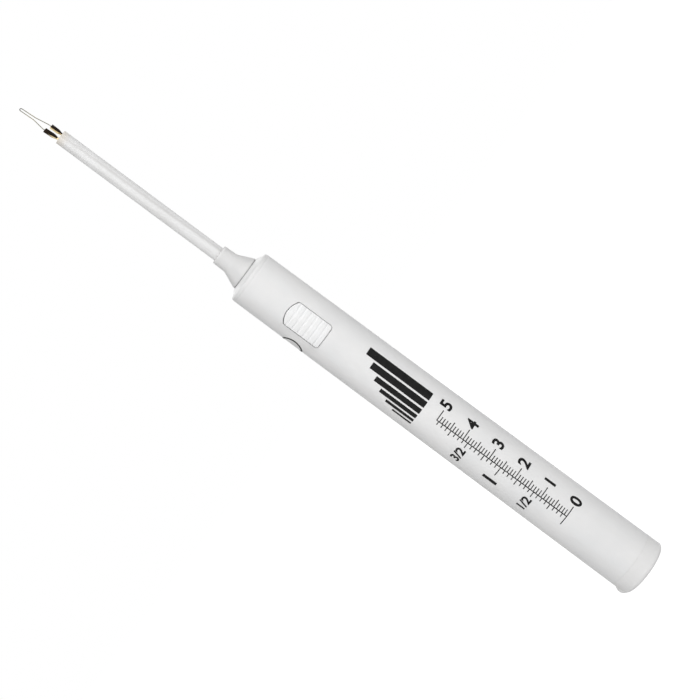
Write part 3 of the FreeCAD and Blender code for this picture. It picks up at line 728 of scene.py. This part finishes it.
# the sleeve with its lengthwise crease
sleeveSet = {
    "wall": 0.28 * mm,
    "segments": 160,
    "rings": 40,
    "creaseStart": 21.0,     # degrees from the button side towards +X, at the tip end
    "creaseDrift": 30.0,     # how far it winds on the way to the cone
    "creaseWidth": 13.0,
    "creaseDepth": 0.12 * mm,
    "sway": 1.6,             # degrees to either side of its course
    "swayTurn": 9.0,
    "secondOff": 62.0,       # a fainter crease beside the first
    "secondDrift": 6.0,
    "secondShare": 0.35,
    "secondWidth": 1.2,
    "flatSide": 32.0,        # the tube is a little flat beside the crease
    "flatWidth": 0.55,
    "flatDepth": 0.045 * mm,
    "edgeRound": 0.07 * mm,
    "edgeSteps": 3,
    "edgeAngle": math.radians(50),
}


def buildSleeve(s):
    low, high = sleeveBox[0].z, sleeveBox[1].z
    radius = (sleeveBox[1].x - sleeveBox[0].x) / 2
    bm = bmesh.new()
    openTube(bm, s["segments"], radius, steps(low, high, s["rings"]))
    shadeMark = bm.verts.layers.float.new("creaseAndShade")
    for v in bm.verts:
        share = (high - v.co.z) / (high - low)
        line = s["creaseStart"] + s["creaseDrift"] * share + s["sway"] * math.sin(share * s["swayTurn"])
        off = (math.degrees(math.atan2(v.co.x, -v.co.y)) - line + 180.0) % 360.0 - 180.0
        creaseAndShade = bell(off, s["creaseWidth"])
        beside = off + s["secondOff"] + s["secondDrift"] * share
        second = s["secondShare"] * bell(beside, s["creaseWidth"] * s["secondWidth"])
        flat = bell(off - s["flatSide"], s["flatSide"] * s["flatWidth"])
        out = 1.0 - ((creaseAndShade + second) * s["creaseDepth"] + flat * s["flatDepth"]) / radius
        v.co.x *= out
        v.co.y *= out
        # the attribute carries the painted shade along both creases
        v[shadeMark] = creaseAndShade + second
    piece = finishPiece(bm, "sleeveTube", "handle", sleeveWhite)
    wall = piece.modifiers.new("wall", "SOLIDIFY")
    wall.thickness = s["wall"]
    wall.offset = -1
    lip = piece.modifiers.new("lip", "BEVEL")
    lip.width = s["edgeRound"]
    lip.segments = s["edgeSteps"]
    lip.limit_method = "ANGLE"
    lip.angle_limit = s["edgeAngle"]
    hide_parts("tip_sleeve")


buildSleeve(sleeveSet)
print("sleeve built")


# terminal posts with their pressed crimps
crimpSet = {
    "turn": 32.0,            # line through the two posts, from the button side towards -X
    "spacing": 2.75 * mm,
    "tubeRadius": 0.6 * mm,
    "boreWall": 0.25 * mm,
    "neck": 0.42 * mm,       # radius just in front of the sleeve
    "foot": 0.4 * mm,        # from the sleeve's end to the foot of the crimp
    "width": 1.67 * mm,
    "thickness": 0.85 * mm,
    "waistWidth": 1.45 * mm,
    "waistThickness": 0.98 * mm,
    "waistAt": 0.35,
    "corner": 5.0,           # squareness of the pressed section
    "dents": (0.3, 0.55, 0.8),
    "dentDepth": 0.075,
    "dentWidth": 0.045,
    "dentBulge": 0.25,
    "rimFrom": (0.995, 0.999),  # the front rim draws in over these shares of the crimp
    "rimShrink": (0.98, 0.93),
    "wireHole": 0.2 * mm,
    "wireHoleDepth": 0.25 * mm,
    "rearBore": 0.8 * mm,
    "segments": 56,
    "rearRing": 0.15 * mm,
    "innerMargin": 1 * mm,
    "innerRings": 6,
    "neckStart": 0.5 * mm,
    "neckFrom": 0.45 * mm,
    "neckRings": 5,
    "crimpRings": 44,
    "frontRings": (0.05 * mm, 0.015 * mm),
    "flare": {"left": 0.42 * mm, "right": 0.05 * mm},
    # bright narrow sides, at the foot and at the wire
    "bare": {"left": (0.14, -0.3), "right": (0.46, 0.3)},
    "bareFade": 0.28,
    # share of the crimp where the heat marks start
    "blackFrom": {"left": -0.01, "right": -0.1},
    "blackFade": 0.06,
    "blackest": 0.95,
    "endBlack": 0.8,
}


def crimpSection(s, share):
    # width, thickness and squareness at this share of the crimp's length
    if share <= 0:
        return 2 * s["tubeRadius"], 2 * s["tubeRadius"], 2.0
    if share < s["waistAt"]:
        t = share / s["waistAt"]
        t = t * t * (3 - 2 * t)
        narrow = s["neck"] * 2 * (1 - t) + s["waistWidth"] * t
        return narrow, s["neck"] * 2 * (1 - t) + s["waistThickness"] * t, 2.0 + (s["corner"] - 2.0) * t
    t = (share - s["waistAt"]) / (1 - s["waistAt"])
    return (s["waistWidth"] + (s["width"] - s["waistWidth"]) * t,
            s["waistThickness"] + (s["thickness"] - s["waistThickness"]) * t, s["corner"])


def buildPost(s, side):
    node = side + "_terminal_post"
    low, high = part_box(node)
    sleeveEnd = sleeveBox[1].z
    foot = sleeveEnd + s["foot"]
    sign = 1 if side == "left" else -1
    heights = [low.z, low.z + s["rearRing"]]
    heights += steps(low.z + s["innerMargin"], sleeveEnd - s["innerMargin"], s["innerRings"])
    heights += steps(sleeveEnd - s["neckStart"], foot, s["neckRings"])
    heights += steps(foot, high.z, s["crimpRings"])[1:-1]
    heights += [high.z - back for back in s["frontRings"]] + [high.z]
    bm = bmesh.new()
    openTube(bm, s["segments"], s["tubeRadius"], heights)
    for height in (low.z, high.z):
        rim = [e for e in bm.edges if e.is_boundary and abs(e.verts[0].co.z - height) < 1e-7]
        bmesh.ops.holes_fill(bm, edges=rim)
    rear = [f for f in bm.faces if len(f.verts) > 8 and f.calc_center_median().z < low.z + 1e-6]
    bmesh.ops.inset_region(bm, faces=rear, thickness=s["boreWall"])
    bmesh.ops.translate(bm, verts=list({v for f in rear for v in f.verts}), vec=(0, 0, s["rearBore"]))
    front = [f for f in bm.faces if len(f.verts) > 8 and f.calc_center_median().z > high.z - 1e-6]
    bmesh.ops.inset_region(bm, faces=front, thickness=s["tubeRadius"] - s["wireHole"])
    pocket = set(v for f in front for v in f.verts)
    heated = bm.verts.layers.float.new("heated")
    turn = math.radians(s["turn"])
    line = Vector((-math.sin(turn), -math.cos(turn), 0)) * sign
    face = Vector((-line.y, line.x, 0))
    for v in bm.verts:
        share = (v.co.z - foot) / (high.z - foot)
        angle = math.atan2(v.co.y, v.co.x)
        c, d = math.cos(angle), math.sin(angle)
        reach = math.hypot(v.co.x, v.co.y) / s["tubeRadius"]
        width, depth, square = crimpSection(s, share)
        if v in pocket:
            v.co.z -= s["wireHoleDepth"]
            width = depth = 2 * s["tubeRadius"]
            square = 2.0
        for dent in s["dents"]:
            press = s["dentDepth"] * bell(share - dent, s["dentWidth"])
            depth *= 1 - press
            width *= 1 + s["dentBulge"] * press
        rim = 1.0
        for start, shrunk in zip(s["rimFrom"], s["rimShrink"]):
            rim = shrunk if share > start else rim
        if v.co.z > sleeveEnd - s["neckFrom"] and share <= 0:
            rim *= s["neck"] / s["tubeRadius"]
        x = width / 2 * reach * rim * math.copysign(abs(c) ** (2 / square), c)
        y = depth / 2 * reach * rim * math.copysign(abs(d) ** (2 / square), d)
        bareFoot, bareFront = s["bare"][side]
        bare = bareFoot + (bareFront - bareFoot) * max(0.0, share)
        flat = min(1.0, max(0.0, (abs(d) - bare) / s["bareFade"]))
        black = min(1.0, max(0.0, (share - s["blackFrom"][side]) / s["blackFade"]))
        v[heated] = flat * black * s["blackest"]
        if v in pocket or share > s["rimFrom"][1]:
            v[heated] = s["endBlack"]
        out = s["spacing"] / 2 + s["flare"][side] * max(0.0, share)
        centre = line * out
        v.co = Vector((centre.x, centre.y, v.co.z)) + line * x + face * y
    piece = finishPiece(bm, side + "Post", "handle", brassBlackened)
    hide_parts(node)


for side in ("left", "right"):
    buildPost(crimpSet, side)
print("posts and crimps built")


# black ring round the side plug and grey ring under the cone, painted shade standing for the shadow in the
# gaps there
plugShadeRingSet = {
    "turn": 74.0, "radius": 3.48 * mm, "width": 0.62 * mm, "proud": 0.08 * mm, "sunk": 0.12 * mm,
    "around": 120, "segments": 20,
}
coneShadeRingSet = {"inset": 0.25 * mm, "wire": 0.12 * mm, "lift": 0.04 * mm, "around": 96, "segments": 16}


def turnedAbout(angle):
    # from the button side towards -X
    return Matrix.Rotation(math.radians(-angle), 3, "Z")


def ringOfWire(bm, radius, wire, around, segments):
    # closed ring round Z from one turned section
    section = bmesh.ops.create_circle(bm, segments=segments, radius=wire)["verts"]
    bmesh.ops.rotate(bm, verts=section, cent=(0, 0, 0), matrix=Matrix.Rotation(math.radians(90), 3, "X"))
    bmesh.ops.translate(bm, verts=section, vec=(radius, 0, 0))
    edges = list({e for v in section for e in v.link_edges})
    bmesh.ops.spin(bm, geom=section + edges, cent=(0, 0, 0), axis=(0, 0, 1), angle=math.tau,
                   steps=around, use_merge=True, use_duplicate=False)


def buildPlugSeal(s):
    low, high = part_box("side_plug")
    middle = (low.z + high.z) / 2
    bm = bmesh.new()
    ringOfWire(bm, s["radius"], s["width"] / 2, s["around"], s["segments"])
    turn = turnedAbout(s["turn"])
    for v in bm.verts:
        x, up, rise = v.co.x, v.co.y, v.co.z / (s["width"] / 2)
        z = middle + up
        radius = handleRadius(z)
        lift = rise * (s["proud"] if rise > 0 else s["sunk"])
        v.co = turn @ Vector((x, -math.sqrt(radius ** 2 - x ** 2) - lift, z))
    # black ring of painted shade in the plug's gap
    finishPiece(bm, "plugShadeRing", "handle", paintedShadeBlack)


def buildConeSeal(s):
    bm = bmesh.new()
    coneFootRadius = widestPoint("nose_cone", coneFoot - 0.1 * mm, coneFoot + 1 * mm)[1]
    ringOfWire(bm, coneFootRadius - s["inset"], s["wire"], s["around"], s["segments"])
    bmesh.ops.translate(bm, verts=bm.verts[:], vec=(0, 0, coneFoot + s["lift"]))
    # grey ring of painted shade at the cone's foot
    finishPiece(bm, "coneShadeRing", "handle", paintedShadeGrey)


buildPlugSeal(plugShadeRingSet)
buildConeSeal(coneShadeRingSet)
print("seals built")


# printed scale and graduated bars, wrapped on the handle
printSet = {
    "scaleStart": 31.5 * mm,   # lowest tick
    "scaleLength": 50,         # in millimetres
    "tickWidth": 0.3 * mm,
    "tickCorner": 0.6,         # share of half a tick's width
    "tickClear": 1.02,
    "ticks": (1.9 * mm, 2.7 * mm, 3.7 * mm),
    "numberSize": 5.6 * mm,
    "numberGap": 0.6 * mm,
    "scaleAt": 0.3 * mm,       # centre line, from the button's meridian towards +X
    "coarse": (1.2 * mm, 1.9 * mm, 3.2 * mm),
    "coarseSize": 7.0 * mm,
    "fractionSize": 0.6,
    "inch": 25.4,
    "inchParts": 16,
    "boldness": 0.03,
    "barsFrom": 87.0 * mm,
    "barsTo": 111.0 * mm,
    "bars": (
        # middle and width in millimetres, share of the full length
        (-6.0, 0.7, 0.3), (-4.55, 1.0, 0.44), (-2.8, 1.35, 0.58),
        (-0.65, 1.75, 0.72), (1.95, 2.2, 0.86), (5.05, 2.75, 1.0),
    ),
    "cornerRound": 0.12 * mm,
    "cornerShare": 0.4,        # of half a bar's width, at most
    "film": 0.022 * mm,
    "strip": 0.45 * mm,        # widest flat strip before the print is bent round
}


def addPatch(bm, x0, x1, z0, z1, corner=0.0):
    # flat rectangle in x and z, with rounded corners
    made = bmesh.ops.create_grid(bm, x_segments=1, y_segments=1, size=0.5)["verts"]
    bmesh.ops.scale(bm, verts=made, vec=(x1 - x0, z1 - z0, 1))
    bmesh.ops.translate(bm, verts=made, vec=((x0 + x1) / 2, (z0 + z1) / 2, 0))
    if corner:
        bmesh.ops.bevel(bm, geom=made, offset=corner, segments=4, profile=0.5, affect="VERTICES",
                        material=-1)


def addNumber(bm, text, size, x, z, boldness, alignX="LEFT"):
    # flat outline of a text, its middle line at z
    curve = bpy.data.curves.new("number", "FONT")
    curve.body = text
    curve.size = size
    curve.align_x = alignX
    curve.align_y = "CENTER"
    curve.resolution_u = 6
    curve.offset = size * boldness
    holder = bpy.data.objects.new("number", curve)
    flat = bpy.data.meshes.new_from_object(holder)
    flat.transform(Matrix.Translation((x, z, 0)))
    bm.from_mesh(flat)
    bpy.data.objects.remove(holder)
    bpy.data.curves.remove(curve)
    bpy.data.meshes.remove(flat)


def wrapPrint(bm, name, body, s, radiusAt, material, turn=0.0):
    # cuts the flat print into narrow strips, bends it round the pen and gives it a film thickness
    bmesh.ops.remove_doubles(bm, verts=bm.verts[:], dist=1e-7)
    low = min(v.co.x for v in bm.verts)
    high = max(v.co.x for v in bm.verts)
    for x in steps(low, high, max(2, int((high - low) / s["strip"])))[1:-1]:
        bmesh.ops.bisect_plane(bm, geom=bm.verts[:] + bm.edges[:] + bm.faces[:], dist=1e-8,
                               plane_co=(x, 0, 0), plane_no=(1, 0, 0))
    bmesh.ops.triangulate(bm, faces=[f for f in bm.faces if len(f.verts) > 4])
    bottom = bm.verts[:]
    top = bmesh.ops.extrude_face_region(bm, geom=bm.faces[:], use_keep_orig=True)["geom"]
    raised = {v for v in top if isinstance(v, bmesh.types.BMVert)}
    place = turnedAbout(turn)
    for v in bottom + list(raised):
        across, z = v.co.x, v.co.y
        radius = radiusAt(z)
        angle = across / radius
        out = radius + (s["film"] if v in raised else -s["film"])
        v.co = place @ Vector((math.sin(angle) * out, -math.cos(angle) * out, z))
    finishPiece(bm, name, body, material, printAngle)


def buildScale(s):
    bm = bmesh.new()
    middle = s["scaleAt"]
    start = s["scaleStart"]
    end = start + s["scaleLength"] * mm
    half = s["tickWidth"] / 2
    clear = half * s["tickClear"]
    corner = half * s["tickCorner"]
    addPatch(bm, middle - half, middle + half, start - half, end + half)
    for i in range(s["scaleLength"] + 1):
        z = start + i * mm
        reach = s["ticks"][2 if i % 10 == 0 else 1 if i % 5 == 0 else 0]
        addPatch(bm, middle + clear, middle + reach, z - half, z + half, corner)
        if i % 10 == 0:
            addNumber(bm, str(i // 10), s["numberSize"], middle + reach + s["numberGap"], z, s["boldness"])
    parts = s["inchParts"]
    for i in range(int(s["scaleLength"] * parts / s["inch"]) + 1):
        z = start + i * s["inch"] / parts * mm
        reach = s["coarse"][2 if i % parts == 0 else 1 if i % 4 == 0 else 0]
        addPatch(bm, middle - reach, middle - clear, z - half, z + half, corner)
        halves = i * 2 // parts
        if i and i * 2 % parts == 0:
            text = str(halves // 2) if halves % 2 == 0 else str(halves) + "/2"
            size = s["coarseSize"] * (s["fractionSize"] if "/" in text else 1.0)
            addNumber(bm, text, size, middle - reach - s["numberGap"], z, s["boldness"], "RIGHT")
    wrapPrint(bm, "printedScale", "handle", s, handleRadius, inkBlack)


def buildBars(s):
    # level sign: each bar is bolder and longer than the one before
    bm = bmesh.new()
    for middle, width, length in s["bars"]:
        x = middle * mm
        w = width * mm / 2
        top = s["barsFrom"] + (s["barsTo"] - s["barsFrom"]) * length
        addPatch(bm, x - w, x + w, s["barsFrom"], top, min(s["cornerRound"], w * s["cornerShare"]))
    wrapPrint(bm, "printedBars", "handle", s, handleRadius, inkBlack)


buildScale(printSet)
buildBars(printSet)


# polarity marks on the cells
cellMarkSet = {
    "size": 3.2 * mm, "bar": 0.75 * mm, "turns": (0, 120, 240), "plusDrop": 6.0 * mm, "minusRise": 6.5 * mm,
}
markFinish = {
    "colourA": grey(0.66), "colourB": grey(0.74), "shine": 0.4, "roughness": 0.4,
    "grain": 0.0002, "cloud": 0.002, "relief": 0.000003,
    "rub": grey(0.3), "rubSize": 0.003, "rubAmount": 0.8, "rubTint": 0.4, "rubRough": 0.2,
}


def buildCellMarks(s, end):
    low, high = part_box(end + "_cell_jacket")
    radius = high.x
    half = s["size"] / 2
    bar = s["bar"] / 2
    for i, turn in enumerate(s["turns"]):
        bm = bmesh.new()
        z = high.z - s["plusDrop"]
        addPatch(bm, -half, half, z - bar, z + bar)
        addPatch(bm, -bar, bar, z + bar, z + half)
        addPatch(bm, -bar, bar, z - half, z - bar)
        z = low.z + s["minusRise"]
        addPatch(bm, -half, half, z - bar, z + bar)
        name = end + "CellMarks" + str(i + 1)
        wrapPrint(bm, name, "handle", printSet, lambda z: radius, cellMarkWhite, turn)


def markInk(s):
    # white print on the cells, a little rubbed
    mat, tree, shader = newMaterial("cellMarkWhite", s["shine"])
    skin = skinFor(tree, s)
    rub = rubFor(tree, s)
    colour = twoTone(tree, skin, s)
    feed(tree, shader.inputs["Base Color"], tint(tree, colour, rub, s["rubTint"], s["rub"]))
    roughen(tree, shader, rub, s["rubRough"], s["roughness"])
    bumped(tree, shader, skin["height"], s["relief"])
    return mat


cellMarkWhite = markInk(markFinish)
for end in ("rear", "front"):
    buildCellMarks(cellMarkSet, end)
print("print and marks built")


# mould parting lines, and the gate mark at the back
partingSet = {
    "width": 0.16 * mm, "film": 0.018 * mm, "strip": 0.08 * mm, "margin": 0.4 * mm, "plugClear": 0.9 * mm,
    "corner": 0.3,
}
gateSet = {
    "radius": 0.9 * mm, "height": 18 * mm, "proud": 0.05 * mm, "segments": 40,
    "insets": (0.2, 0.35),   # shares of the radius
    "dish": (0.5, 0.5),      # up to this share of the radius, lifted by this share of proud
    "top": (0.9, 1.0),
    "edge": -0.6,
}


def buildPartingLines(s):
    plugLow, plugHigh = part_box("side_plug")
    rear = seamRear + s["margin"]
    front = seamFront - s["margin"]
    plugSpan = (plugLow.z - s["plugClear"], plugHigh.z + s["plugClear"])
    runs = {
        "partingLineRight": (-90, [(rear, front)]),
        "partingLineLeft": (90, [(rear, plugSpan[0]), (plugSpan[1], front)]),
    }
    for name, (turn, spans) in runs.items():
        bm = bmesh.new()
        for z0, z1 in spans:
            addPatch(bm, -s["width"] / 2, s["width"] / 2, z0, z1, s["width"] * s["corner"])
        wrapPrint(bm, name, "handle", s, handleRadius, barrelWhite, turn)


def buildGateMark(s):
    # round stub left where the plastic was fed in, on the side away from the button
    bm = bmesh.new()
    bmesh.ops.create_circle(bm, cap_ends=True, segments=s["segments"], radius=s["radius"])
    for inset in s["insets"]:
        middle = [f for f in bm.faces if len(f.verts) > 8]
        bmesh.ops.inset_region(bm, faces=middle, thickness=s["radius"] * inset)
    for v in bm.verts:
        share = math.hypot(v.co.x, v.co.y) / s["radius"]
        lift = s["edge"]
        for upTo, level in (s["top"], s["dish"]):
            lift = level if share < upTo else lift
        lift *= s["proud"]
        z = s["height"] + v.co.y
        radius = handleRadius(z)
        v.co = Vector((-v.co.x, math.sqrt(radius ** 2 - v.co.x ** 2) + lift, z))
    finishPiece(bm, "gateMark", "handle", barrelWhite)


buildPartingLines(partingSet)
buildGateMark(gateSet)
print("mould marks built")


# plain pale floor, white surroundings, soft lamps
roomSet = {
    "daylight": 0.335,      # level of the surroundings on the object
    "floorSize": 4.0,
    "floorCells": 8,
    "floorDrop": 36 * mm,   # the pulled cap clears the floor
    "floorGlow": 0.9,
    "floorPaint": 0.3,
    "floorBounce": 0.8,     # how the floor lights the object
    "lamps": (
        # azimuth, elevation, distance, size, watts
        ("key", 23.0, 33.0, 1.2, 0.8, 8.0),
        ("fill", -34.0, 14.0, 1.2, 0.9, 2.1),
        ("back", 190.0, 35.0, 1.2, 0.8, 4.5),
    ),
}


def seenDirectly(tree):
    # 1 for rays that come from the viewer, a mirror image or a clear material
    path = put(tree, "LightPath").outputs
    both = calc(tree, "MAXIMUM", path["Is Camera Ray"], path["Is Glossy Ray"])
    return calc(tree, "MAXIMUM", both, path["Is Transmission Ray"])


def buildRoom(s):
    world = bpy.data.worlds.new("room")
    bpy.context.scene.world = world
    world.use_nodes = True
    tree = world.node_tree
    sky = tree.nodes["Background"]
    level = s["daylight"]
    light = mixColour(tree, seenDirectly(tree), (level, level, level, 1), (1, 1, 1, 1))
    feed(tree, sky.inputs["Color"], light)
    bm = bmesh.new()
    bmesh.ops.create_grid(bm, x_segments=s["floorCells"], y_segments=s["floorCells"],
                          size=s["floorSize"] / 2, matrix=Matrix.Translation((0, 0, -s["floorDrop"])))
    mesh = bpy.data.meshes.new("floor")
    bm.to_mesh(mesh)
    bm.free()
    floor = addToScene("floor", mesh)
    mat, tree, shader = newMaterial("floorWhite")
    tree.nodes.remove(shader)
    glow = put(tree, "Emission", {"Color": (1, 1, 1, 1), "Strength": s["floorGlow"]})
    paint = put(tree, "BsdfDiffuse", {"Color": grey(s["floorPaint"])})
    shown = put(tree, "AddShader", {0: glow.outputs[0], 1: paint.outputs[0]})
    real = put(tree, "BsdfDiffuse", {"Color": grey(s["floorBounce"])})
    both = put(tree, "MixShader", {0: seenDirectly(tree), 1: real.outputs[0], 2: shown.outputs[0]})
    # the floor is open from below
    below = calc(tree, "MULTIPLY", put(tree, "NewGeometry").outputs["Backfacing"], seenDirectly(tree))
    clear = put(tree, "BsdfTransparent")
    ground = put(tree, "MixShader", {0: below, 1: both.outputs[0], 2: clear.outputs[0]})
    feed(tree, tree.nodes["Material Output"].inputs["Surface"], ground.outputs[0])
    mesh.materials.append(mat)
    target = Vector((0, 0, cameraSet["aimHeight"]))
    for name, azimuth, elevation, distance, size, watts in s["lamps"]:
        light = bpy.data.lights.new(name, "AREA")
        light.shape = "DISK"
        light.size = size
        light.energy = watts
        lamp = addToScene(name, light)
        aimAt(lamp, target + compass(azimuth, elevation) * distance, target)
    bpy.context.scene.view_settings.view_transform = "Standard"


buildRoom(roomSet)
print("room built")
